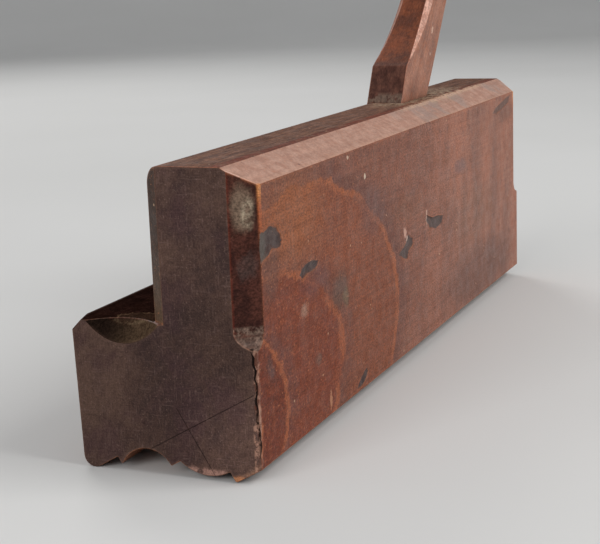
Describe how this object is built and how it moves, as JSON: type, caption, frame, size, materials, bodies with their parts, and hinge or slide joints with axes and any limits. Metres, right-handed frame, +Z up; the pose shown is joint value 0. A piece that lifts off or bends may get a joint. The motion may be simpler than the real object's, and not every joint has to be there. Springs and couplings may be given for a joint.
{
  "type": "side-escapement moulding plane",
  "caption": "Stepped wooden moulding plane with a sprung quirk ovolo and cove sole, profiled iron, side escapement with a conical eye, and a round-headed wedge.",
  "frame": {"origin": "level of the sole's lowest edge, in the middle of the stock's length and of its lower width", "axes": "+Z up to the top of the stock, +Y along the stock towards the heel, +X towards the flat blind side; the shoulder and the escapement are at -X"},
  "size_m": [0.05, 0.2414, 0.1435],
  "materials": {
    "stock_wood": "old waxed beech, red-brown, worn",
    "iron_steel": "dark patina, ground bright at the edge",
    "wedge_wood": "old waxed beech, handled"
  },
  "bodies": {
    "stock": {"stock": "stock_wood"},
    "iron": {"iron": "iron_steel"},
    "wedge": {"wedge": "wedge_wood"}
  },
  "joints": [
    {"name": "iron_slide", "type": "slide", "parent": "stock", "child": "iron", "axis": [0, 0.6428, 0.766], "range_m": [-0.003, 0.007]},
    {"name": "wedge_slide", "type": "slide", "parent": "stock", "child": "wedge", "axis": [0, 0.6428, 0.766], "range_m": [0, 0.04]}
  ]
}
